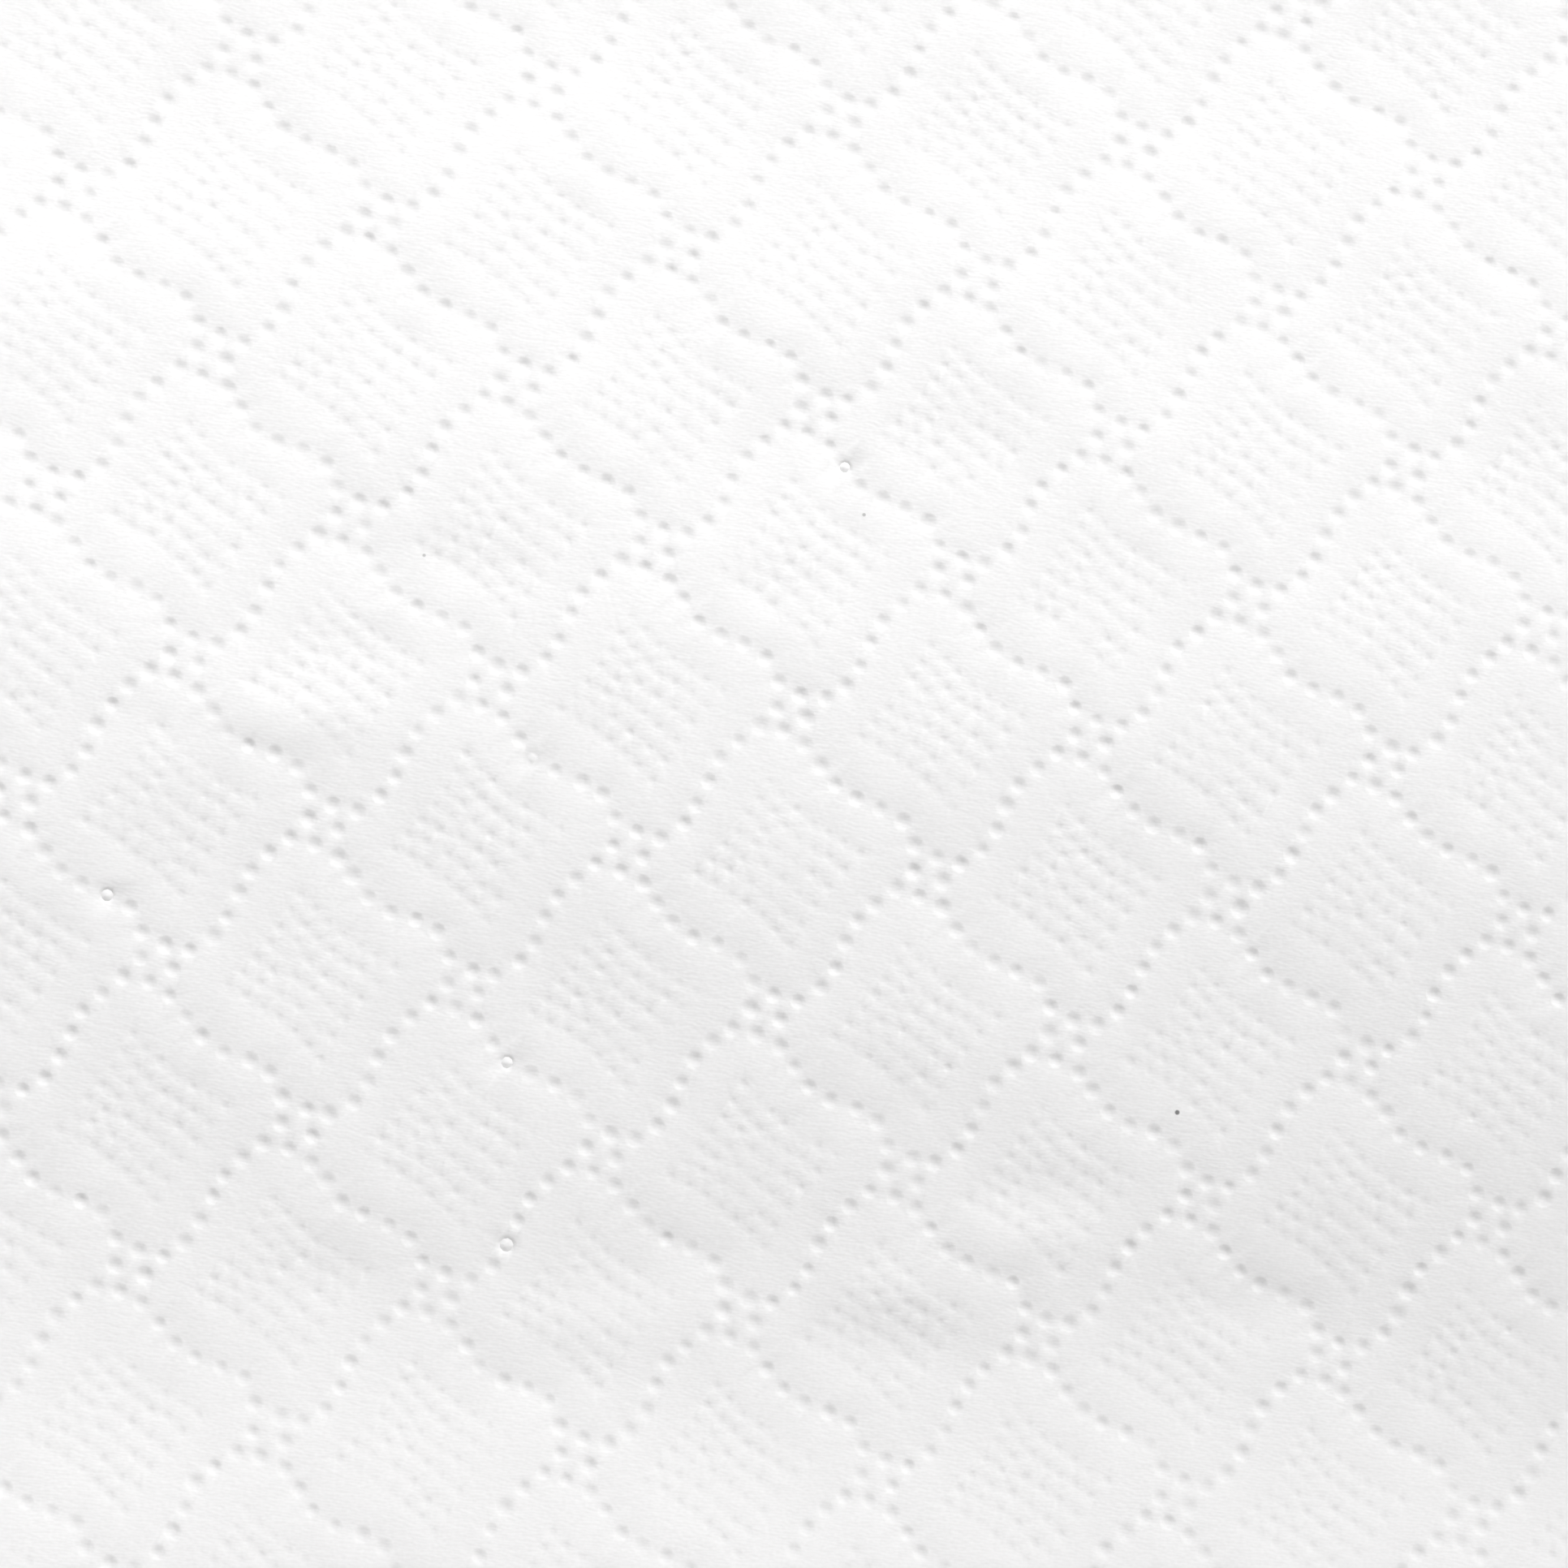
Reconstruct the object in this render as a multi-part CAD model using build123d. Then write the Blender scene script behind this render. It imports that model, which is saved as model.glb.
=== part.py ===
from build123d import *

import os
from math import ceil, cos, degrees, pi, sin, sqrt

# An examination table paper roll: one web of embossed two-ply tissue wound on a cardboard core.
# It lies on its side, with the flat spot that a soft roll gets under its own weight, and its first
# stretch is unrolled flat in front of it. Millimetres. The origin is on the roll's axis, in the
# middle of its length: +X runs along the axis, -Y along the unrolled stretch, +Z up.

# Driving dimensions of the web
web_width = 500.0
web_length = 40000.0
sheet_thickness = 0.25

# Driving dimensions of the core
core_bore_radius = 20.0
core_wall = 2.0

# Driving dimensions of the unrolled stretch
free_length = 320.0
curl_length = 45.0
curl_radius = 220.0

# Driving dimensions of the embossing, modelled where the web lies flat: pressed lines cross and part
# it into diamonds that stand up between them
quilt_diagonal = 18.4
quilt_rise = 0.12
pressed_line_rise = 0.02
quilt_margin = 1.5

# Width of the flat spot under the roll
flat_spot_width = 22.0

# Turns that show on the roll's ends: the winding is looser at every so many turns, and the edges
# of the loose turns stand back a little from the rest
turns_between_marks = 17
mark_width = 0.8
mark_depth = 0.7
plain_border = 3.5

# Derived sizes of the winding: its cross-section holds the web's wound length
core_radius = core_bore_radius + core_wall
wound_length = web_length - free_length
roll_radius = sqrt(core_radius**2 + wound_length * sheet_thickness / pi)

# Levels of the surface that the roll lies on, and of the unrolled sheet's upper side
floor_level = -sqrt(roll_radius**2 - (flat_spot_width / 2) ** 2)
sheet_top = floor_level + sheet_thickness

# The winding leaves the sheet at the nip, where the roll's outline meets the sheet's upper side
flat_end_y = flat_spot_width / 2
nip_y = -sqrt(roll_radius**2 - sheet_top**2)
curl_start_y = nip_y - (free_length - curl_length)
curl_angle = curl_length / curl_radius

# Side of the embossed diamonds
quilt_side = quilt_diagonal / sqrt(2)


def curl_point(radius, angle):
    """A point on the curl at the sheet's free end, as (y, z), from the angle turned in radians."""
    centre_z = floor_level + curl_radius
    return curl_start_y - radius * sin(angle), centre_z - radius * cos(angle)


def web_section():
    """The web across its width: the winding's outline, the flat spot and the unrolled sheet."""
    nip = (nip_y, sheet_top)
    flat_end = (flat_end_y, floor_level)
    upper_radius = curl_radius - sheet_thickness
    lower = [curl_point(curl_radius, curl_angle * share) for share in (0, 0.5, 1)]
    upper = [curl_point(upper_radius, curl_angle * share) for share in (1, 0.5, 0)]
    with BuildSketch(Plane.YZ) as section:
        with BuildLine():
            ThreePointArc(nip, (0, roll_radius), flat_end)
            Line(flat_end, lower[0])
            ThreePointArc(*lower)
            Line(lower[2], upper[0])
            ThreePointArc(*upper)
            Line(upper[2], nip)
        make_face()
        Circle(core_radius, mode=Mode.SUBTRACT)
    return section.sketch


def ridged_plate(turn):
    """A plate with ridges side by side on top, as far apart as the lines, at an angle to the axis."""
    ridges = 2 * ceil((web_width / 2 + free_length) / sqrt(2) / quilt_side)
    reach = ridges * quilt_side / 2
    root = sheet_top - sheet_thickness / 2
    valley = sheet_top + pressed_line_rise
    crest = valley + quilt_rise
    ridge_line = [(quilt_side * k / 2 - reach, crest if k % 2 else valley) for k in range(2 * ridges + 1)]
    with BuildSketch(Plane.XZ) as profile:
        with BuildLine():
            Polyline(*ridge_line, (reach, root), (-reach, root), close=True)
        make_face()
    plate = extrude(profile.sketch, reach, both=True)
    return Pos(0, nip_y, 0) * Rot(0, 0, turn) * plate


def quilting():
    """The embossed diamonds of the flat stretch: what two ridged plates have in common, crossed."""
    flat_length = nip_y - curl_start_y
    field = Box(web_width - 2 * quilt_margin, flat_length - 2 * quilt_margin, 4 * sheet_thickness)
    field = Pos(0, nip_y - flat_length / 2, sheet_top) * field
    return (ridged_plate(45) & field) & (ridged_plate(-45) & field)


def turn_marks():
    """The spiral that the loose turns draw on an end: half turns of growing radius on two centres."""
    pitch = turns_between_marks * sheet_thickness
    growth = pitch / 2
    first_radius = core_radius + plain_border
    last_radius = roll_radius - plain_border
    half_turns = int((last_radius - first_radius) / growth)
    with BuildSketch(Plane.YZ.offset(web_width / 2)) as marks:
        with BuildLine():
            for half in range(half_turns):
                centre_y = growth / 2 if half % 2 else -growth / 2
                CenterArc((centre_y, 0), first_radius + growth * half, 180 * (half % 2), 180)
        trace(line_width=mark_width)
    return marks.sketch


def paper():
    """The whole web, one solid: the turns with their marked ends, and the embossed unrolled sheet."""
    web = extrude(web_section(), web_width / 2, both=True) + quilting()
    groove = extrude(turn_marks(), -mark_depth)
    return web - groove - mirror(groove, Plane.YZ)


def core_tube():
    """The cardboard tube, cut off together with the winding, so that their ends are flush."""
    tube = Circle(core_radius) - Circle(core_bore_radius)
    return extrude(Plane.YZ * tube, web_width / 2, both=True)


os.makedirs("parts", exist_ok=True)
for name, solid in {"paper": paper(), "core_tube": core_tube()}.items():
    solid.label = name
    export_step(solid, f"parts/{name}.step")
    print(name, "volume", round(solid.volume), "valid", solid.is_valid)
print("roll radius", round(roll_radius, 3), "floor level", round(floor_level, 3))
print("nip", round(nip_y, 3), "curl angle", round(degrees(curl_angle), 2))
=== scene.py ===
# The looks of the examination table paper roll: embossed tissue, wound on a cardboard core, with its
# first stretch lying flat in front of the roll. Lengths in this script are millimetres, in the frame's
# own axes, and become metres where a mesh, a lamp or the camera is made.
from math import atan2, cos, pi, radians, sin, sqrt, tau

import bmesh
import bpy
import numpy as np
from mathutils import Euler, Matrix, Vector
from mathutils.geometry import delaunay_2d_cdt


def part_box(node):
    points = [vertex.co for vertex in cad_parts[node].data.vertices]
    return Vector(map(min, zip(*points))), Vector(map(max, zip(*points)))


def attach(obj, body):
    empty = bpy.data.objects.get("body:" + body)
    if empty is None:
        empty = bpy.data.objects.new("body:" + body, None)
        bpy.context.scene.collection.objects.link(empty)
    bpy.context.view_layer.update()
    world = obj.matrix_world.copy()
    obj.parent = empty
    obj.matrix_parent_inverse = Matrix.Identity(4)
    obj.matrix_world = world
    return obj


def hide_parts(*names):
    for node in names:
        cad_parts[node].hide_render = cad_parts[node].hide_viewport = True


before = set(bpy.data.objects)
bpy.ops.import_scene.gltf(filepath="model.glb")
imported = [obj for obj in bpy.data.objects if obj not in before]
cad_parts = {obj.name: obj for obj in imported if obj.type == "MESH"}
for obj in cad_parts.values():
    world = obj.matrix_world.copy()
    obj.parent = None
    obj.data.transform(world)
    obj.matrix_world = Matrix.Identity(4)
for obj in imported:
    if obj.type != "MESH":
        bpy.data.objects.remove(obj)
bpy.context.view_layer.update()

MM = 0.001
rng = np.random.default_rng(7)

# The web's sizes, read from the frame
paper_low, paper_high = (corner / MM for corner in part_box("paper"))
core_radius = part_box("core_tube")[1].z / MM
half_width = paper_high.x
roll_radius = paper_high.z
floor_level = paper_low.z
sheet_thickness = 0.25
sheet_top = floor_level + sheet_thickness
flat_end_y = sqrt(roll_radius**2 - floor_level**2)
nip_y = -sqrt(roll_radius**2 - sheet_top**2)
back_y = -nip_y

# The curl at the free end
curl_length = 45.0
curl_radius = 220.0
curl_start_y = paper_low.y + curl_radius * sin(curl_length / curl_radius)
free_end = curl_start_y - curl_length

# The camera of the photograph: its focal length in pixels, and the place of one ring of the
# embossing in the camera's axes (right, down, forward)
photo_size = 1932
focal_px = 5200
camera_turn = Euler((radians(-2.11), radians(-5.64), radians(5.07)), "XYZ").to_matrix()
ring_in_camera = Vector((0.24, -4.25, 258.81))

# The embossing repeats in square cells that stand on a corner, with a ring of dots at each corner
cell_diagonal = 18.4
cell_side = cell_diagonal / sqrt(2)
half_cell = cell_diagonal / 2

# The dots: radius, depth, and the spread of the depths. They are shallower by a share of softer_press
# towards the picture's top
big_radius = 0.62
big_depth = 0.136
big_spread = 0.17
small_radius = 0.44
small_depth = 0.060
small_spread = 0.32
deepest_dot = 0.22
softer_press = 0.18

# The diamonds stand up between the lines of big dots: how wide those valleys are, and how high the
# diamonds are on the sheet, on the roll, and in the bump of the material that also draws the dots
valley_width = 2.2
diamond_rise = 0.022
roll_rise = 0.105
far_rise = 0.09

# That ring's place on the sheet, where lines of the frame's own diamonds cross too. The picture's
# right is -X and its top is -Y
rings_from_nip = 17
ring_x = -half_cell
ring_y = nip_y - rings_from_nip * half_cell
picture_axes = Matrix.Diagonal((-1, 1, -1))


def smooth_step(share):
    """0 below 0, 1 above 1, and smooth between."""
    share = np.clip(share, 0, 1)
    return share * share * (3 - 2 * share)


def photo_place(px, py):
    """The place on the sheet, from the ring's centre, that a pixel of the photograph shows."""
    half = photo_size / 2
    ray = camera_turn.transposed() @ Vector(((px - half) / focal_px, (py - half) / focal_px, 1))
    eye = -(camera_turn.transposed() @ ring_in_camera)
    spot = eye - ray * (eye.z / ray.z)
    return spot.x, spot.y


# The pattern of the embossing

def polar(radius, angle):
    """A point from the origin, x to the right and y down, with the angle in degrees."""
    return np.array((radius * cos(radians(angle)), radius * sin(radians(angle))))


def swayed_line(start, end, sway, phase, spaces=6):
    """Dots between two rings, on a line that sways once to each side."""
    along = end - start
    across = np.array((-along[1], along[0])) / np.hypot(*along)
    shares = [k / spaces for k in range(1, spaces)]
    return [start + along * f + across * sway * sin(tau * (f + phase)) for f in shares]


def bowed_square(centre, radius, turn, spaces, bow):
    """Dots on the sides of a square that bow inward, with their count of spaces side by side."""
    corners = [centre + polar(radius, turn - 90 + 90 * side) for side in range(5)]
    dots = []
    for side, count in enumerate(spaces):
        start, end = corners[side], corners[side + 1]
        inward = centre - (start + end) / 2
        inward = inward / np.hypot(*inward)
        for k in range(count):
            f = k / count
            dots.append(start + (end - start) * f + inward * bow * 4 * f * (1 - f))
    return dots


# Dots of a ring, as radius and angle: the four that the lines start from, and the four inside them
outer_ring = ((2.13, -28), (2.13, 62), (2.13, 152), (2.13, 242))
inner_ring = ((1.30, -71.2), (1.30, 108.8), (0.97, 15.5), (0.97, 195.5))

# The lines between rings: how far each sways, and where along it the sway starts
falling_line = (0.58, -0.09)
rising_line = (0.50, 0.05)

# Squares of small dots in a diamond: radius, spaces on each side, and how far the sides bow inward
small_squares = ((5.0, (6, 5, 6, 6), 0.35), (3.05, (4, 3, 3, 4), 0.25), (0.9, (1, 1, 1, 1), 0))
squares_turn = -12


def cell_dots():
    """The dots of one cell, from a ring's centre: the big ones of the lines, and the small ones."""
    ring = [polar(*dot) for dot in outer_ring]
    big = ring + [polar(*dot) for dot in inner_ring]
    down_right = np.array((half_cell, half_cell))
    up_right = np.array((half_cell, -half_cell))
    big += swayed_line(ring[1], down_right + ring[3], *falling_line)
    big += swayed_line(ring[0], up_right + ring[2], *rising_line)
    centre = np.array((0, half_cell))
    small = []
    for radius, spaces, bow in small_squares:
        small += bowed_square(centre, radius, squares_turn, spaces, bow)
    return np.array(big), np.array(small)


big_dots, small_dots = cell_dots()


def to_cell(places):
    """Places on the web as places along the cell's two sides."""
    a, b = places[..., 0], places[..., 1]
    return np.stack(((a + b) / sqrt(2), (a - b) / sqrt(2)), -1)


def with_neighbours(dots, margin):
    """A cell's dots as places along its sides, with those of the cells around it that lie near."""
    inside = to_cell(dots) % cell_side
    steps = [np.array((i, j)) * cell_side for i in (-1, 0, 1) for j in (-1, 0, 1)]
    copies = np.concatenate([inside + step for step in steps])
    near = np.all((copies > -margin) & (copies < cell_side + margin), axis=1)
    return copies[near]


valley_dots = with_neighbours(big_dots, 3 * valley_width)


def valley(places):
    """How far the web is pressed down along the lines of big dots, from 0 to 1."""
    folded = to_cell(places) % cell_side
    nearest = np.full(len(folded), np.inf)
    for dot in valley_dots:
        nearest = np.minimum(nearest, np.hypot(*(folded - dot).T))
    return np.exp(-((nearest / valley_width) ** 2))


def web_place(x, w):
    """A web point as a place from the ring's centre. w is Y on the flat, and goes on round the roll."""
    return np.stack((ring_x - x, w - ring_y), -1)


# The sheet's soft waves

# Broad swells across the whole web: place along the web from the ring, half width, and height
swells = ((4, 31, 1.8), (58, 13, 2.2))

# Short soft folds that the photograph shows, by pixel: centre, half length, half width, and height
# before fold_strength
soft_folds = (
    ((350, 885), 110, 32, 0.16),
    ((430, 800), 90, 36, -0.10),
    ((200, 892), 90, 30, -0.10),
    ((570, 697), 105, 38, -0.10),
    ((960, 725), 95, 38, -0.07),
    ((1160, 545), 100, 46, -0.06),
    ((1090, 1585), 100, 34, 0.12),
    ((1120, 1662), 120, 38, -0.14),
    ((1300, 1465), 100, 36, -0.12),
    ((1240, 1525), 90, 30, 0.12),
    ((1550, 1608), 100, 36, -0.16),
    ((720, 1630), 110, 32, 0.12),
    ((650, 1710), 90, 36, -0.10),
    ((860, 1545), 110, 46, -0.14),
    ((420, 1570), 80, 40, -0.12),
    ((1100, 1360), 120, 50, -0.08),
)
px_size = 0.0497
fold_strength = 1.2

# Small waves all over the sheet: length, direction in degrees, height and phase
small_waves = (
    (19.0, 70, 0.034, 0.3),
    (14.5, 112, 0.026, 1.9),
    (11.0, 48, 0.018, 4.0),
    (27.0, 95, 0.050, 2.6),
    (9.0, 131, 0.012, 5.2),
    (34.0, 35, 0.050, 0.9),
)

# Slow waves across the whole web: height, stretch across and along the web, and phase
slow_waves = ((0.30, 41, 97, 1), (0.20, 23, -52, 0))

# How high the sheet lies on the whole, and the stretches before the nip where it lies quite flat and
# where it comes down to that
mean_lift = 0.5
flat_stretch = 4
lowering_stretch = 55


def crossing_waves(waves, x, w):
    """The height of waves that cross, each given like the slow ones."""
    return sum(tall * np.sin(x / across + w / along + phase) for tall, across, along, phase in waves)


def lift(x, w):
    """How high the sheet's underside stands over the floor."""
    a, b = ring_x - x, w - ring_y
    height = np.zeros(len(b))
    for place, half_wide, tall in swells:
        height += tall * np.exp(-(((b - place) / half_wide) ** 2))
    for centre, half_length, half_wide, tall in soft_folds:
        fold_a, fold_b = photo_place(*centre)
        along = (a - fold_a) / (half_length * px_size)
        across = (b - fold_b) / (half_wide * px_size)
        height += fold_strength * tall * np.exp(-(along**2) - across**2)
    for length, way, tall, phase in small_waves:
        along = x * cos(radians(way)) + w * sin(radians(way))
        height += tall * np.sin(tau * along / length + phase)
    height += mean_lift + crossing_waves(slow_waves, x, w)
    return height * smooth_step((nip_y - flat_stretch - w) / lowering_stretch)


def sheet_point(x, w, height):
    """A point of the unrolled sheet, at a height over its underside's flat place."""
    angle = np.maximum(curl_start_y - w, 0) / curl_radius
    radius = curl_radius - height
    y = np.maximum(w, curl_start_y) - radius * np.sin(angle)
    z = floor_level + curl_radius - radius * np.cos(angle)
    return np.stack((x, y, z), -1)


# Meshes

# Edges that turn by more degrees than this stay sharp
sharp_edge = 50


def triangulate(places):
    """Triangles over a flat set of points, turning from x to y."""
    spots = [Vector(place) for place in places.tolist()]
    found, _, triangles, _, _, _ = delaunay_2d_cdt(spots, [], [], 0, 1e-7)
    if len(found) != len(spots):
        raise ValueError("two points of a flat set coincide")
    return np.array(triangles)


def piece(name, points, faces, finishes, face_finish=None, web=None, pressed=None):
    """A smooth-shaded mesh object. For the materials, web holds each point's place on the web, and
    pressed how deep a dot presses it in."""
    mesh = bpy.data.meshes.new(name)
    mesh.from_pydata((points * MM).tolist(), [], faces)
    for finish in finishes:
        mesh.materials.append(finish)
    if face_finish is not None:
        mesh.polygons.foreach_set("material_index", face_finish)
    if web is not None:
        layer = mesh.attributes.new("web", "FLOAT_VECTOR", "POINT")
        depth = np.zeros(len(web)) if pressed is None else pressed
        layer.data.foreach_set("vector", np.column_stack((web, depth)).ravel())
    mesh.validate()
    mesh.shade_smooth()
    mesh.set_sharp_from_angle(angle=radians(sharp_edge))
    made = bpy.data.objects.new(name, mesh)
    bpy.context.collection.objects.link(made)
    return made


def lattice(low, high, steps):
    """Web places of a lattice that divides each cell's sides into so many steps."""
    reach = np.abs(np.array((low, high))).max() * 2
    count = int(reach / cell_side * steps)
    k = np.arange(-count, count + 1) * cell_side / steps
    p, q = np.meshgrid(k, k)
    a, b = (p + q).ravel() / sqrt(2), (p - q).ravel() / sqrt(2)
    x, w = ring_x - a, b + ring_y
    inside = (x > low[0]) & (x < high[0]) & (w > low[1]) & (w < high[1])
    return np.stack((x[inside], w[inside]), -1)


def border(low, high, step):
    """Points round a rectangle, in order, starting at its low corner."""
    across = np.linspace(low[0], high[0], max(2, round((high[0] - low[0]) / step)) + 1)
    along = np.linspace(low[1], high[1], max(2, round((high[1] - low[1]) / step)) + 1)
    bottom = np.stack((across[:-1], np.full(len(across) - 1, low[1])), -1)
    right = np.stack((np.full(len(along) - 1, high[0]), along[:-1]), -1)
    top = np.stack((across[:0:-1], np.full(len(across) - 1, high[1])), -1)
    left = np.stack((np.full(len(along) - 1, low[0]), along[:0:-1]), -1)
    return np.concatenate((bottom, right, top, left))


def hoop(x, radius, angle):
    """Points round the roll's axis, at angles from the Y axis. x and the radius may be one for all."""
    across = np.broadcast_to(x, angle.shape)
    return np.stack((across, radius * np.cos(angle), radius * np.sin(angle)), -1)


def grid_quads(rows, columns, first=0):
    """Faces of a grid of points, row by row, turning from columns to rows."""
    k = first + np.arange(rows * columns).reshape(rows, columns)
    return np.stack((k[:-1, :-1], k[:-1, 1:], k[1:, 1:], k[1:, :-1]), -1).reshape(-1, 4)


# The field of the sheet that the photograph shows, where every dot is in the mesh
field_margin = 2.5
corner_places = np.array([photo_place(px, py) for px in (0, photo_size) for py in (0, photo_size)])
field_corners = np.stack((ring_x - corner_places[:, 0], ring_y + corner_places[:, 1]), -1)
field_low = field_corners.min(axis=0) - field_margin
field_high = field_corners.max(axis=0) + field_margin

# Dots that the photograph shows as a groove round a raised middle, by pixel
ring_like_dots = ((137, 1105), (661, 932), (1038, 575), (631, 1306), (625, 1531))

# Rings of points in a dot: share of its radius, share of its depth, and count
big_rings = ((0.0, 1.0, 1), (0.40, 0.82, 6), (0.72, 0.24, 9), (1.0, 0.0, 10))
small_rings = ((0.0, 1.0, 1), (0.5, 0.68, 6), (1.0, 0.0, 7))
hollow_rings = ((0.0, 0.1, 1), (0.33, 0.5, 6), (0.62, 1.0, 9), (1.0, 0.0, 9))

# How the dots differ: the spread of their sizes and of their places, and the least and the most of
# their usual size and depth
size_spread = 0.08
size_limits = (0.85, 1.15)
place_spread = 0.05
press_limits = (0.35, 1.7)

# Where the dots get shallower: how far up the picture from the ring that starts, and how far it goes on
softer_from = 6
softer_over = 30

# The sheet's points: how many steps a cell's side has between the dots, outside the field, and below,
# how far apart the points are round the sheet and round the field, and how far those between the dots
# keep away from a dot's rim
field_steps = 9
far_steps = 4
under_steps = 2
edge_step = 3.25
field_edge_step = 1.6
rim_gap = 0.3

# How far inside the field's edge its dots stay, and the points between them. How far inside the sheet's
# edge the other points stay, and how far away from the field
dot_inset = 0.7
field_inset = 0.4
sheet_inset = 1.2
field_gap = 1.0

# How much thicker than its edge the sheet is inland, downwards, so that no dot comes through. It is so
# where it lies at least this high and this far in from its edge, and thinner towards both
underside_drop = 0.16
dropped_lift = 0.3
dropped_inland = 8

# The sheet has no embossing just before the nip, and gets it over a short stretch from there
plain_stretch = 2
embossing_stretch = 6


def field_dots(dots):
    """Every dot of a kind in the field, as web places (x, w)."""
    reach = int((field_high - field_low).max() / half_cell) + 2
    steps = [(i, j) for i in range(-reach, reach) for j in range(-reach, reach) if (i + j) % 2 == 0]
    places = np.concatenate([dots + (i * half_cell, j * half_cell) for i, j in steps])
    spots = np.stack((ring_x - places[:, 0], places[:, 1] + ring_y), -1)
    inside = np.all((spots > field_low + dot_inset) & (spots < field_high - dot_inset), axis=1)
    return spots[inside]


def dot_points(spots, radius, depth, uneven, rings, hollow=()):
    """Points of the dots' bowls, and how deep each is pressed in. uneven is the depth's spread."""
    places, depths = [], []
    size = np.clip(1 + size_spread * rng.standard_normal(len(spots)), *size_limits)
    press = np.clip(1 + uneven * rng.standard_normal(len(spots)), *press_limits)
    press *= 1 - softer_press * smooth_step((ring_y - spots[:, 1] - softer_from) / softer_over)
    turn = rng.random(len(spots)) * tau
    wander = place_spread * np.clip(rng.standard_normal((len(spots), 2)), -2, 2)
    for k, spot in enumerate(spots):
        deepest = min(depth * press[k], deepest_dot)
        for ring_share, depth_share, count in hollow_rings if k in hollow else rings:
            angles = turn[k] + np.arange(count) * tau / count
            circle = np.stack((np.cos(angles), np.sin(angles)), -1) * radius * size[k] * ring_share
            places.append(spot + wander[k] + circle)
            depths.append(np.full(count, deepest * depth_share))
    return np.concatenate(places), np.concatenate(depths)


def clear_of(places, spots, distance, batch=500):
    """Which places are at least so far from every spot, worked out for a batch of them at a time."""
    keep = np.ones(len(places), bool)
    for k in range(0, len(places), batch):
        part = places[k : k + batch]
        gap = np.hypot(part[:, None, 0] - spots[None, :, 0], part[:, None, 1] - spots[None, :, 1])
        keep[k : k + batch] = gap.min(axis=1) > distance
    return keep


def sheet_relief(places, depths):
    """Heights of the sheet's upper side over its underside."""
    x, w = places.T
    free = smooth_step((nip_y - plain_stretch - w) / embossing_stretch)
    return sheet_thickness + free * (diamond_rise * (1 - valley(web_place(x, w))) - depths)


def unrolled_sheet():
    """The unrolled stretch, a thin closed sheet: its upper side carries the embossing."""
    low, high = np.array((-half_width, free_end)), np.array((half_width, back_y))
    big, small = field_dots(big_dots), field_dots(small_dots)
    hollow = set()
    for px, py in ring_like_dots:
        a, b = photo_place(px, py)
        hollow.add(int(np.argmin(np.hypot(*(big - (ring_x - a, b + ring_y)).T))))
    big_places, big_press = dot_points(big, big_radius, big_depth, big_spread, big_rings, hollow)
    small_places, small_press = dot_points(small, small_radius, small_depth, small_spread, small_rings)
    between = lattice(field_low + field_inset, field_high - field_inset, field_steps)
    between = between[clear_of(between, big, big_radius + rim_gap)]
    between = between[clear_of(between, small, small_radius + rim_gap)]
    coarse = lattice(low + sheet_inset, high - sheet_inset, far_steps)
    in_field = np.all((coarse > field_low - field_gap) & (coarse < field_high + field_gap), axis=1)
    edge = border(low, high, edge_step)
    field_edge = border(field_low, field_high, field_edge_step)
    places = np.concatenate((edge, coarse[~in_field], field_edge, between, big_places, small_places))
    depths = np.zeros(len(places))
    depths[-len(big_press) - len(small_press) :] = np.concatenate((big_press, small_press))
    top = triangulate(places)

    under_far = lattice(low + 2 * sheet_inset, high - 2 * sheet_inset, under_steps)
    under_field = np.all((under_far > field_low) & (under_far < field_high), axis=1)
    under_near = lattice(field_low, field_high, far_steps)
    under_places = np.concatenate((edge, under_far[~under_field], under_near))
    under = triangulate(under_places)[:, ::-1] + len(places)
    rim = np.arange(len(edge))
    after = np.roll(rim, -1)
    sides = np.stack((after, rim, rim + len(places), after + len(places)), -1)

    x, w = places.T
    raised = lift(x, w)
    upper = sheet_point(x, w, raised + sheet_relief(places, depths))
    under_x, under_w = under_places.T
    under_lift = lift(under_x, under_w)
    inland = np.minimum(half_width - np.abs(under_x), under_w - free_end)
    dropped = smooth_step(under_lift / dropped_lift) * smooth_step(inland / dropped_inland)
    lower = sheet_point(under_x, under_w, under_lift - underside_drop * dropped)
    lower[:, 1] = np.minimum(lower[:, 1], flat_end_y)
    points = np.concatenate((upper, lower))
    web = np.concatenate((web_place(x, w), web_place(under_x, under_w)))
    middle = places[top].mean(axis=1)
    fine = np.all((middle > field_low) & (middle < field_high), axis=1)
    finish = np.concatenate((np.where(fine, 0, 1), np.ones(len(under) + len(sides), int)))
    faces = top.tolist() + under.tolist() + sides.tolist()
    pressed = np.concatenate((depths, np.zeros(len(under_places))))
    return piece("unrolled_sheet", points, faces, (tissue_close, tissue_far), finish, web, pressed)


# The wound turns

# The loose turns that show on the ends, on the same spiral as on the frame's own solid: its pitch and
# first radius, how far they stand back, and the rows of points from one to the next
loose_pitch = 4.25
loose_start = 24.44
loose_depth = 0.7
loose_half_width = 0.31
loose_rows = (-0.46, -0.3, 0.3, 0.46, 0.8, 1.2, 1.6, 2.0, 2.4, 2.8, 3.2, 3.5)

# How far the other turns stand back, how uneven they are and the most of that, and the stretch over
# which every row becomes flush towards an edge
end_inset = 0.12
end_spread = 0.09
most_uneven = 0.3
flush_stretch = 1.5

# The outside goes round from the back of the sheet to the nip, and the flat spot closes it
first_angle = atan2(sheet_top, back_y)
turned = tau - 2 * (pi / 2 + first_angle)
across_points = 200
arc_steps = 170
chord_steps = 12
outside_steps = 6
outside_inset = 0.8

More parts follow.
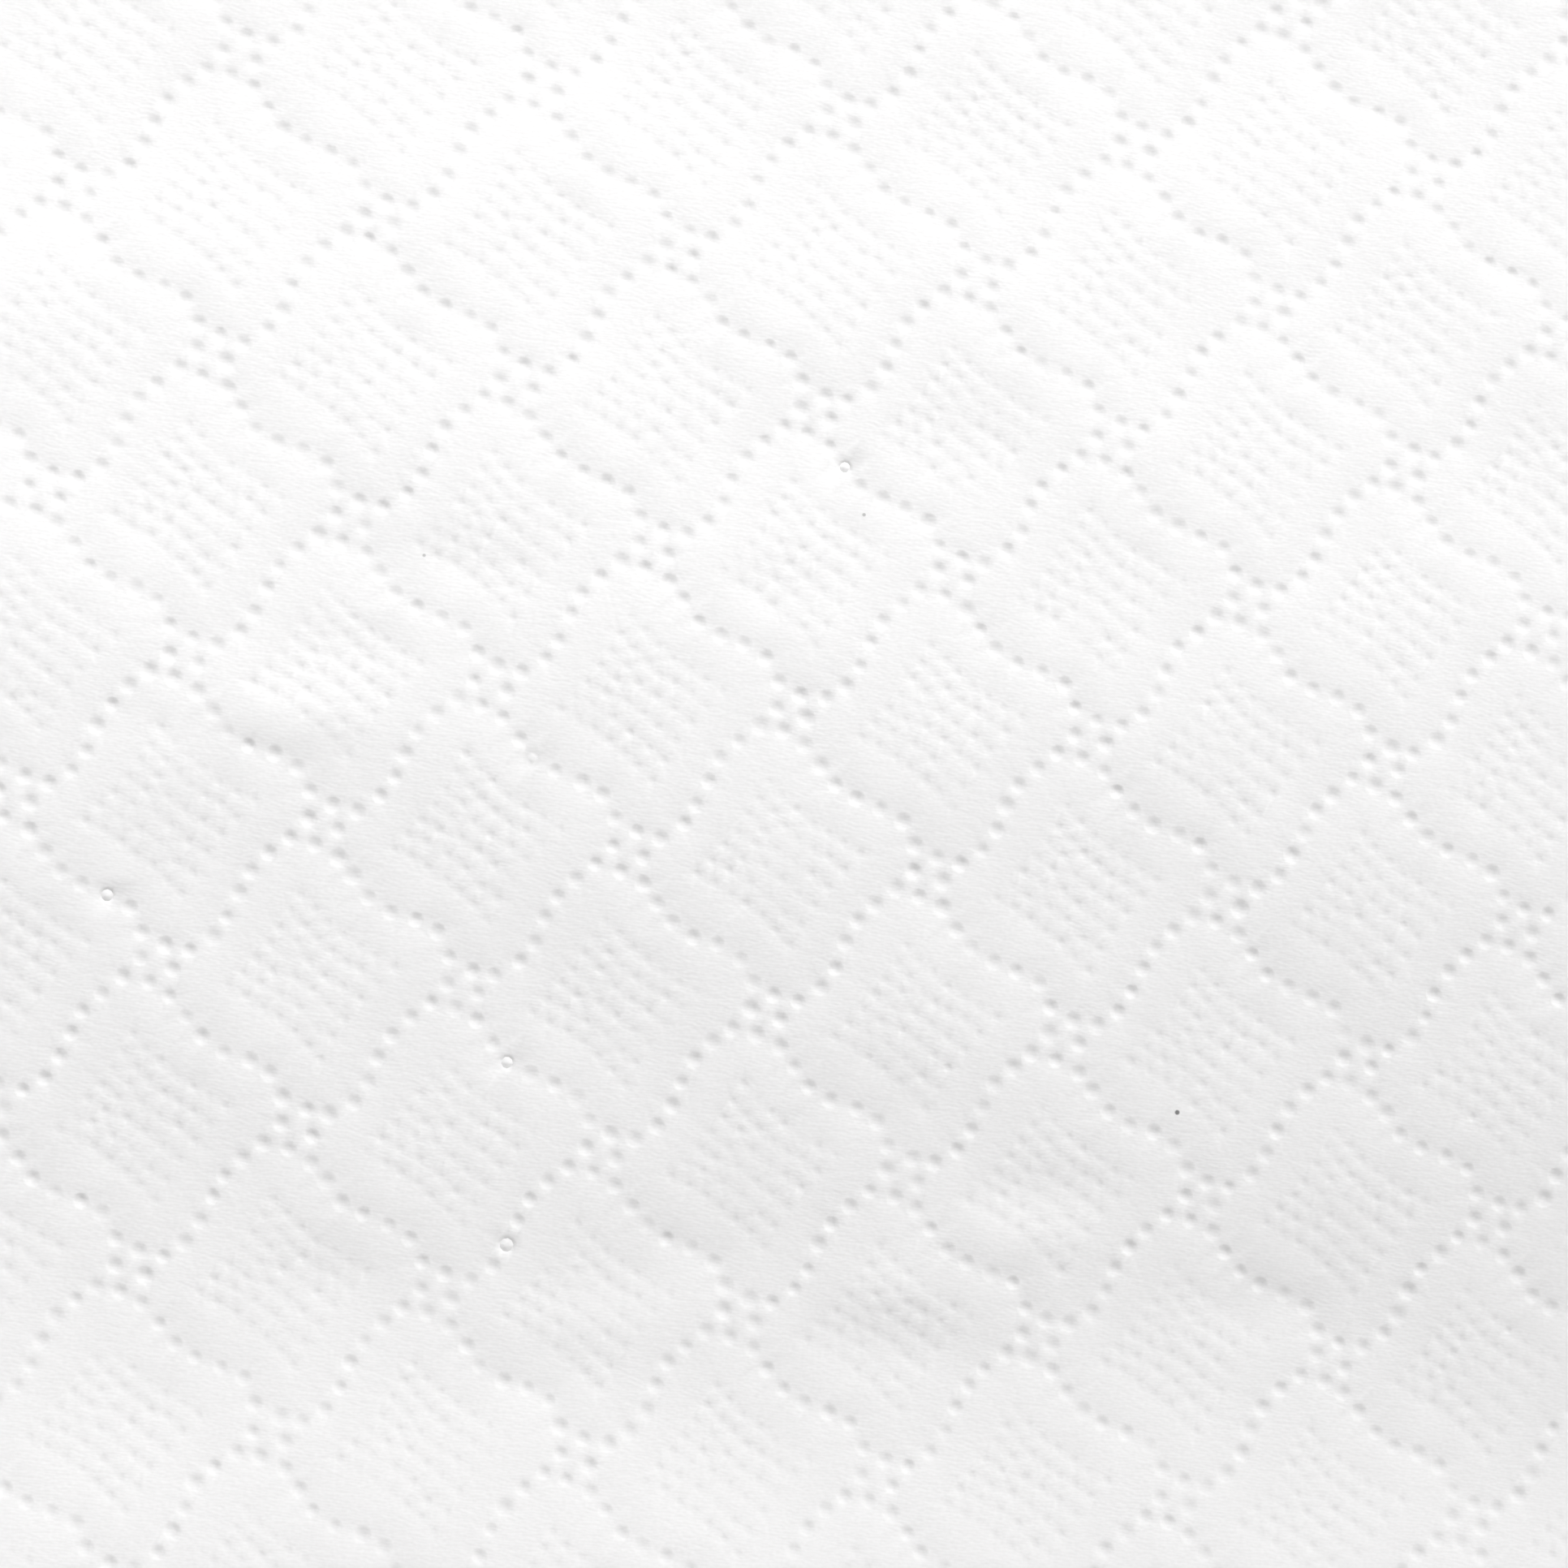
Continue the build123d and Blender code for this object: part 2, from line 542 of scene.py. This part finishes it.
# How far the outside stands in from its full radius on the whole, its lumps, given like the sheet's slow
# waves, and the stretches over which that ends towards the roll's ends and towards the flat spot
outside_depth = 0.18
roll_lumps = ((0.10, 31, 19, 0), (0.08, 17, -43, 2))
end_stretch = 4
flat_spot_stretch = 5


def roll_relief(x, w):
    """How far the roll's outside stands in from its full radius."""
    depth = outside_depth + crossing_waves(roll_lumps, x, w)
    ends = smooth_step((half_width - np.abs(x)) / end_stretch)
    return ends * depth - roll_rise * (1 - valley(web_place(x, w)))


def roll_point(x, w):
    """A point of the roll's outside, from its place along the web."""
    angle = first_angle + (w - back_y) / roll_radius
    radius = roll_radius - roll_relief(x, w)
    from_flat_spot = np.minimum(w - back_y, back_y + turned * roll_radius - w)
    uneven = smooth_step(from_flat_spot / flat_spot_stretch)
    radius = uneven * radius + (1 - uneven) * roll_radius
    return hoop(x, radius, angle)


def end_points(side, outline):
    """The grid of one end, row by row along the loose turns' spiral: points and rows' count."""
    columns = np.concatenate((outline, outline[:1]))
    angle = np.unwrap(np.arctan2(columns[:, 2], columns[:, 1]))
    reach = np.hypot(columns[:, 1], columns[:, 2])
    turns = range(-2, int(roll_radius / loose_pitch) + 2)
    shift = rng.normal(0, end_spread, len(turns) * len(loose_rows))
    wave = rng.random(len(shift)) * tau
    rows = []
    k = 0
    for turn in turns:
        for offset in loose_rows:
            radius = loose_start + loose_pitch * (turn + angle / tau) + offset
            kept = np.clip(radius, core_radius, reach)
            inside = smooth_step((kept - core_radius) / flush_stretch)
            inside = inside * smooth_step((reach - kept) / flush_stretch)
            pressed = loose_depth if abs(offset) < loose_half_width else 0.0
            uneven = shift[k] + shift[k - len(loose_rows)] * np.sin(angle + wave[k])
            back = pressed + end_inset + np.clip(uneven, -end_inset, most_uneven)
            x = half_width - inside * back
            rows.append(hoop(side * x, kept, angle))
            k += 1
    return np.concatenate(rows), len(rows)


def wound_turns():
    """All the turns, one closed body: the outside, both ends and the bore for the core."""
    top_w = back_y + turned * roll_radius
    low, high = np.array((-half_width, back_y)), np.array((half_width, top_w))
    across = np.linspace(-half_width, half_width, across_points)
    along = np.linspace(back_y, top_w, arc_steps + 1)
    rim = [np.stack((across, np.full(len(across), w)), -1) for w in (back_y, top_w)]
    inner = along[1:-1]
    rim += [np.stack((np.full(len(inner), x), inner), -1) for x in (-half_width, half_width)]
    places = np.concatenate((*rim, lattice(low + outside_inset, high - outside_inset, outside_steps)))
    faces = triangulate(places)
    skin = roll_point(*places.T)
    webs = [web_place(*places.T)]
    parts = [skin]
    all_faces = [faces.tolist()]
    finish = [np.zeros(len(faces), int)]
    count = len(skin)

    chord = np.linspace(nip_y, back_y, chord_steps + 1)
    x, y = np.meshgrid(across, chord)
    parts.append(np.stack((x.ravel(), y.ravel(), np.full(x.size, sheet_top)), -1))
    webs.append(web_place(x.ravel(), y.ravel()))
    quads = grid_quads(chord_steps + 1, len(across), count)[:, ::-1]
    all_faces.append(quads.tolist())
    finish.append(np.zeros(len(quads), int))
    count += x.size

    chord_points = np.stack((chord[1:-1], np.full(chord_steps - 1, sheet_top)), -1)
    for side in (-1, 1):
        x = side * half_width
        arc = roll_point(np.full(arc_steps + 1, x), along)
        flat = np.column_stack((np.full(len(chord_points), x), chord_points))
        outline = np.concatenate((arc, flat))
        points, rows = end_points(side, outline)
        parts.append(points)
        webs.append(np.zeros((len(points), 2)))
        quads = grid_quads(rows, len(outline) + 1, count)
        quads = quads[:, ::-1] if side > 0 else quads
        all_faces.append(quads.tolist())
        finish.append(np.ones(len(quads), int))
        count += len(points)

    angle = np.arctan2(outline[:, 2], outline[:, 1])
    angle = np.concatenate((angle, angle[:1]))
    for x in (-half_width, half_width):
        parts.append(hoop(x, core_radius, angle))
        webs.append(np.zeros((len(angle), 2)))
    quads = grid_quads(2, len(angle), count)
    all_faces.append(quads.tolist())
    finish.append(np.ones(len(quads), int))

    faces = [face for part in all_faces for face in part]
    finishes = (tissue_far, tissue_edges)
    web = np.concatenate(webs)
    made = piece("wound_turns", np.concatenate(parts), faces, finishes, np.concatenate(finish), web)
    weld(made)
    return made


def weld(made, gap=0.004):
    """Joins points that coincide, and sets the sharp edges anew."""
    work = bmesh.new()
    work.from_mesh(made.data)
    bmesh.ops.remove_doubles(work, verts=work.verts, dist=gap * MM)
    bmesh.ops.dissolve_degenerate(work, edges=work.edges, dist=gap * MM / 10)
    work.to_mesh(made.data)
    work.free()
    made.data.shade_smooth()
    made.data.set_sharp_from_angle(angle=radians(sharp_edge))


# The core

bore_radius = 20.0
core_columns = 120

# The seam of the strip that the tube is wound from: its pitch, the rows of points from one turn to the
# next, and how deep and half how wide it is
strip_pitch = 68.0
seam_rows = (-0.5, -0.15, 0.15, 0.5, 6, 14, 22, 30, 38, 46, 54, 62)
seam_depth = 0.22
seam_half_width = 0.2

# The plies that show on the ends: how far out from the bore, and how far back from the end
ply_rows = (
    (0.0, 0.0),
    (0.12, 0.0),
    (0.55, 0.0),
    (0.62, 0.1),
    (0.69, 0.0),
    (1.25, 0.0),
    (1.32, 0.1),
    (1.39, 0.0),
    (1.85, 0.0),
    (2.0, 0.0),
)

# The plies are a little ragged: how far back that reaches, how often it comes round the tube, and how
# far that turns on for each millimetre outwards, in radians
ragged_depth = 0.03
ragged_waves = 23
ragged_turn = 9


def core_board():
    """The cardboard tube, with its slanting seam in the bore and its plies on the ends."""
    angle = np.linspace(0, tau, core_columns + 1)
    rows = []
    for turn in range(-int(half_width / strip_pitch) - 2, int(half_width / strip_pitch) + 2):
        for offset in seam_rows:
            x = np.clip(strip_pitch * (turn + angle / tau) + offset, -half_width, half_width)
            inside = smooth_step((half_width - np.abs(x)) / flush_stretch)
            radius = bore_radius + inside * (seam_depth if abs(offset) < seam_half_width else 0)
            rows.append(hoop(x, radius, angle))
    faces = grid_quads(len(rows), core_columns + 1)[:, ::-1].tolist()
    count = len(rows) * (core_columns + 1)
    outermost = ply_rows[-1][0]
    for side in (-1, 1):
        for out, back in ply_rows:
            ragged = ragged_depth * np.sin(angle * ragged_waves + out * ragged_turn)
            ragged = np.abs(ragged) * (0 < out < outermost)
            x = half_width - (back + ragged)
            rows.append(hoop(side * x, bore_radius + out, angle))
        quads = grid_quads(len(ply_rows), core_columns + 1, count)
        faces += (quads if side < 0 else quads[:, ::-1]).tolist()
        count += len(ply_rows) * (core_columns + 1)
    rows += [hoop(x, core_radius, angle) for x in (-half_width, half_width)]
    faces += grid_quads(2, core_columns + 1, count).tolist()
    made = piece("core_board", np.concatenate(rows), faces, (board,))
    weld(made)
    return made


# Materials

class Finish:
    """A material and its nodes, added one after another. Inputs are given in order, None to skip."""

    def __init__(self, name):
        self.material = bpy.data.materials.new(name)
        self.material.use_nodes = True
        self.tree = self.material.node_tree
        self.shader = self.tree.nodes["Principled BSDF"]

    def add(self, kind, *inputs, output=0, **settings):
        node = self.tree.nodes.new("ShaderNode" + kind)
        for key, value in settings.items():
            setattr(node, key, value)
        sockets = [socket for socket in node.inputs if socket.enabled]
        for socket, value in zip(sockets, inputs):
            if isinstance(value, bpy.types.NodeSocket):
                self.tree.links.new(value, socket)
            elif value is not None:
                socket.default_value = value
        return node.outputs[output]

    def math(self, operation, *inputs):
        return self.add("Math", *inputs, operation=operation)

    def vector(self, operation, *inputs):
        output = 1 if operation in ("LENGTH", "DISTANCE", "DOT_PRODUCT") else 0
        return self.add("VectorMath", *inputs, operation=operation, output=output)

    def noise(self, place, scale, detail=2.0, roughness=0.5):
        return self.add("TexNoise", place, None, scale, detail, roughness)

    def ranged(self, value, low, high, to_low, to_high, kind="LINEAR"):
        return self.add("MapRange", value, low, high, to_low, to_high, interpolation_type=kind)

    def blended(self, share, colour, other):
        return self.add("Mix", share, colour, other, data_type="RGBA", output=2)

    def bump(self, height, normal=None):
        """A bump whose height is in millimetres."""
        node = self.tree.nodes.new("ShaderNodeBump")
        node.inputs["Distance"].default_value = MM
        node.inputs["Strength"].default_value = 1.0
        self.tree.links.new(height, node.inputs["Height"])
        if normal is not None:
            self.tree.links.new(normal, node.inputs["Normal"])
        return node.outputs[0]

    def set(self, **values):
        for key, value in values.items():
            socket = self.shader.inputs[key.replace("_", " ")]
            if isinstance(value, bpy.types.NodeSocket):
                self.tree.links.new(value, socket)
            else:
                socket.default_value = value


def nearest_dot(finish, folded, dots, margin):
    """The distance to the nearest dot of a kind, in a cell that holds the place folded into it."""
    nearest = None
    for p, q in with_neighbours(dots, margin):
        gap = finish.vector("DISTANCE", folded, (p, q, 0))
        nearest = gap if nearest is None else finish.math("MINIMUM", nearest, gap)
    return nearest


# Small dark specks in the tissue that the photograph shows: pixel, radius, and how dark
specks = (((1444, 1369), 0.19, 0.75), ((1061, 637), 0.14, 0.4), ((522, 687), 0.13, 0.35))

# The tissue's shade at the dark and the pale end of its range, and the share of that left at the bottom
# of a dot in the mesh and of one in the material: painted shade in the dots' hollows, partly also the
# denser, more see-through paper pressed there. How much redder than green and blue it is, and the fine
# streaks of its crepe: how often they come along and across the web, and how high they are
tissue_shades = (0.865, 0.895)
dent_painted_shade = 0.95
far_dent_painted_shade = 0.86
warmth = 1.006
crepe_scale = (0.45, 1.35, 0)
crepe_height = 0.020

# The dots of the material are seen from further off, and their bump is stronger. Its diamonds reach
# their full height at so many widths of a valley from its middle
far_dents = 2.0
far_slope = 1.6


def tissue(name, dots):
    """White crepe tissue. Where the mesh doesn't hold the dots, the material presses them in."""
    finish = Finish(name)
    attribute = finish.add("Attribute", attribute_name="web", output=1)
    web = finish.vector("MULTIPLY", attribute, (1, 1, 0))
    pressed = finish.vector("DOT_PRODUCT", attribute, (0, 0, 1))
    normal = None
    if dots:
        side = 1 / (cell_side * sqrt(2))
        s = finish.vector("DOT_PRODUCT", web, (side, side, 0))
        t = finish.vector("DOT_PRODUCT", web, (side, -side, 0))
        both = finish.add("CombineXYZ", s, t, 0.0)
        fraction = finish.vector("FRACTION", both)
        folded = finish.vector("MULTIPLY", fraction, (cell_side, cell_side, 0))
        big = nearest_dot(finish, folded, big_dots, big_radius)
        small = nearest_dot(finish, folded, small_dots, small_radius)
        big = finish.ranged(big, 0.0, big_radius, -big_depth, 0.0, "SMOOTHSTEP")
        small = finish.ranged(small, 0.0, small_radius, -small_depth, 0.0, "SMOOTHSTEP")
        dents = finish.math("ADD", big, small)
        pressed = finish.math("MULTIPLY", dents, -1.0)
        across = finish.vector("SUBTRACT", (cell_side, cell_side, 0), folded)
        gap = finish.add("SeparateXYZ", finish.vector("MINIMUM", folded, across))
        gap = finish.math("MINIMUM", gap, gap.node.outputs[1])
        pillow = finish.ranged(gap, 0.0, far_slope * valley_width, 0.0, far_rise, "SMOOTHSTEP")
        normal = finish.bump(finish.math("ADD", pillow, finish.math("MULTIPLY", dents, far_dents)))
    crepe = finish.noise(finish.vector("MULTIPLY", web, crepe_scale), 1.0, 1.0, 0.35)
    normal = finish.bump(finish.math("MULTIPLY", crepe, crepe_height), normal)
    cloud = finish.noise(web, 0.45, 2.0, 0.6)
    shade = finish.ranged(cloud, 0.3, 0.7, *tissue_shades)
    dent_shade_share = far_dent_painted_shade if dots else dent_painted_shade
    # Darker towards the bottom of each dot: painted shade in its hollow, partly also the denser paper
    # there
    shade = finish.math("MULTIPLY", shade, finish.ranged(pressed, 0.0, big_depth, 1.0, dent_shade_share))
    if not dots:
        for place, radius, dark in specks:
            a, b = photo_place(*place)
            gap = finish.vector("DISTANCE", web, (a, b, 0))
            speck = finish.ranged(gap, radius * 0.5, radius, 1 - dark, 1.0, "SMOOTHSTEP")
            shade = finish.math("MULTIPLY", shade, speck)
    colour = finish.add("CombineColor", finish.math("MULTIPLY", shade, warmth), shade, shade)
    rough = finish.ranged(cloud, 0.3, 0.7, 0.85, 0.97)
    finish.set(Base_Color=colour, Roughness=rough, Normal=normal, Specular_IOR_Level=0.2)
    return finish.material


def edge_layers(name):
    """The cut edges of the turns: fine irregular rings, with painted shade between them."""
    finish = Finish(name)
    place = finish.vector("SCALE", finish.add("TexCoord", output=3), None, None, 1 / MM)
    flat = finish.vector("MULTIPLY", place, (0, 1, 1))
    radius = finish.vector("LENGTH", flat)
    way = finish.vector("SCALE", finish.vector("NORMALIZE", flat), None, None, 1.3)
    layer = finish.add("CombineXYZ", finish.math("MULTIPLY", radius, 2.2), 0.0, 0.0)
    rings = finish.noise(finish.vector("ADD", way, layer), 1.0, 3.0, 0.65)
    fluff = finish.noise(place, 2.2, 3.0, 0.6)
    ring_height = finish.math("MULTIPLY", rings, 0.22)
    height = finish.math("ADD", ring_height, finish.math("MULTIPLY", fluff, 0.12))
    # Darker where the rings lie low: painted shade between the layers of the cut edge
    shade = finish.ranged(rings, 0.3, 0.7, 0.74, 0.86)
    colour = finish.add("CombineColor", shade, shade, shade)
    rough = finish.ranged(fluff, 0.3, 0.7, 0.88, 0.98)
    finish.set(Base_Color=colour, Roughness=rough, Normal=finish.bump(height), Specular_IOR_Level=0.15)
    return finish.material


def cardboard(name):
    """Grey-brown core board, with fibres and specks."""
    finish = Finish(name)
    place = finish.vector("SCALE", finish.add("TexCoord", output=3), None, None, 1 / MM)
    fibres = finish.noise(finish.vector("MULTIPLY", place, (0.35, 2.4, 2.4)), 1.0, 5.0, 0.65)
    specks_in_board = finish.noise(place, 1.6, 2.0, 0.5)
    pale = finish.ranged(fibres, 0.3, 0.72, 0.0, 1.0)
    colour = finish.blended(pale, (0.45, 0.36, 0.27, 1), (0.62, 0.52, 0.41, 1))
    specked = finish.ranged(specks_in_board, 0.66, 0.74, 0.0, 0.5)
    colour = finish.blended(specked, colour, (0.22, 0.17, 0.13, 1))
    height = finish.math("MULTIPLY", fibres, 0.10)
    rough = finish.ranged(fibres, 0.3, 0.7, 0.8, 0.95)
    finish.set(Base_Color=colour, Roughness=rough, Normal=finish.bump(height), Specular_IOR_Level=0.2)
    return finish.material


# How bright the camera sees the bare floor by itself, beside the light that falls on it
floor_glow = 0.32


def floor_paint(name):
    """Pale grey, hardly mottled, and paler still where the camera sees it."""
    finish = Finish(name)
    cloud = finish.noise(finish.add("TexCoord", output=3), 3.0, 3.0, 0.5)
    shade = finish.ranged(cloud, 0.3, 0.7, 0.43, 0.45)
    colour = finish.add("CombineColor", shade, shade, shade)
    rough = finish.ranged(cloud, 0.3, 0.7, 0.78, 0.84)
    finish.set(Base_Color=colour, Roughness=rough, Specular_IOR_Level=0.1)
    seen = finish.math("MULTIPLY", finish.add("LightPath"), floor_glow)
    finish.set(Emission_Color=(1, 1, 1, 1), Emission_Strength=seen)
    return finish.material


tissue_close = tissue("tissue_close", dots=False)
tissue_far = tissue("tissue_far", dots=True)
tissue_edges = edge_layers("tissue_edges")
board = cardboard("core_board")

# The pieces
sheet = unrolled_sheet()
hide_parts("paper")
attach(sheet, "root")

turns = wound_turns()
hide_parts("paper")
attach(turns, "root")

core = core_board()
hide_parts("core_tube")
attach(core, "root")


# The floor

floor_reach = 12.0
bpy.ops.mesh.primitive_plane_add(size=floor_reach, location=(0, 0, floor_level * MM))
floor = bpy.context.object
floor.name = "floor"
floor.data.materials.append(floor_paint("floor_paint"))


# Light

# The key light's middle lies a little past the picture's top, so that its light fades down the picture
lit_y = -235
lit_middle = Vector((0, lit_y, sheet_top)) * MM
roll_middle = Vector((0, 0, 0)) * MM
right_end = Vector((-half_width, 0, 0)) * MM


def lamp(name, place, target, width, height, power, spread, roll=0):
    """A soft box: how wide and high it is in metres, how far its light spreads and how it leans."""
    data = bpy.data.lights.new(name, "AREA")
    data.shape = "RECTANGLE"
    data.size = width
    data.size_y = height
    data.energy = power
    data.spread = radians(spread)
    made = bpy.data.objects.new(name, data)
    made.location = place
    facing = (place - target).to_track_quat("Z", "Y").to_matrix()
    made.rotation_euler = (facing @ Matrix.Rotation(radians(roll), 3, "Z")).to_euler()
    made.visible_camera = False
    bpy.context.collection.objects.link(made)


def from_target(target, distance, azimuth, elevation):
    """A place seen from a target: azimuth 0 is along -Y, and 90 along +X."""
    turn, rise = radians(azimuth), radians(elevation)
    flat = distance * cos(rise)
    return target + Vector((flat * sin(turn), -flat * cos(turn), distance * sin(rise)))


lamp("key", from_target(lit_middle, 1.5, -13, 38), lit_middle, 0.7, 0.15, 0.53, 12, 14)
lamp("roll_front", from_target(roll_middle, 1.5, -4, 52), roll_middle, 1.0, 0.14, 0.13, 8)
lamp("roll_side", from_target(roll_middle, 1.5, 97, 36), roll_middle, 0.10, 0.40, 0.11, 7)
lamp("right_end_fill", from_target(right_end, 1.5, 262, 18), right_end, 0.12, 0.12, 0.02, 6)
lamp("back_fill", from_target(roll_middle, 1.6, 180, 26), roll_middle, 0.9, 0.2, 0.18, 10)

# The world lights the scene evenly, and the camera sees it in the floor's own shade
sky_strength = 0.35
sky_shade = 0.474

world = bpy.data.worlds.new("studio")
bpy.context.scene.world = world
world.use_nodes = True
tree = world.node_tree
sky = tree.nodes["Background"]
sky.inputs["Color"].default_value = (1, 1, 1, 1)
sky.inputs["Strength"].default_value = sky_strength
shown = tree.nodes.new("ShaderNodeBackground")
shown.inputs["Color"].default_value = (sky_shade, sky_shade, sky_shade, 1)
path = tree.nodes.new("ShaderNodeLightPath")
mix = tree.nodes.new("ShaderNodeMixShader")
tree.links.new(path.outputs["Is Camera Ray"], mix.inputs[0])
tree.links.new(sky.outputs[0], mix.inputs[1])
tree.links.new(shown.outputs[0], mix.inputs[2])
tree.links.new(mix.outputs[0], tree.nodes["World Output"].inputs["Surface"])


# Camera

sensor_width = 36.0
lens_data = bpy.data.cameras.new("camera")
lens_data.sensor_width = sensor_width
lens_data.lens = focal_px * sensor_width / photo_size
lens_data.clip_start = 0.02
camera = bpy.data.objects.new("camera", lens_data)
bpy.context.collection.objects.link(camera)
right, down, forward = (picture_axes @ row for row in camera_turn)
ring = Vector((ring_x, ring_y, sheet_top))
eye = ring - picture_axes @ (camera_turn.transposed() @ ring_in_camera)
axes = Matrix((right, -down, -forward)).transposed().to_4x4()
camera.matrix_world = Matrix.Translation(eye * MM) @ axes
bpy.context.scene.camera = camera
bpy.context.scene.view_settings.view_transform = "Standard"
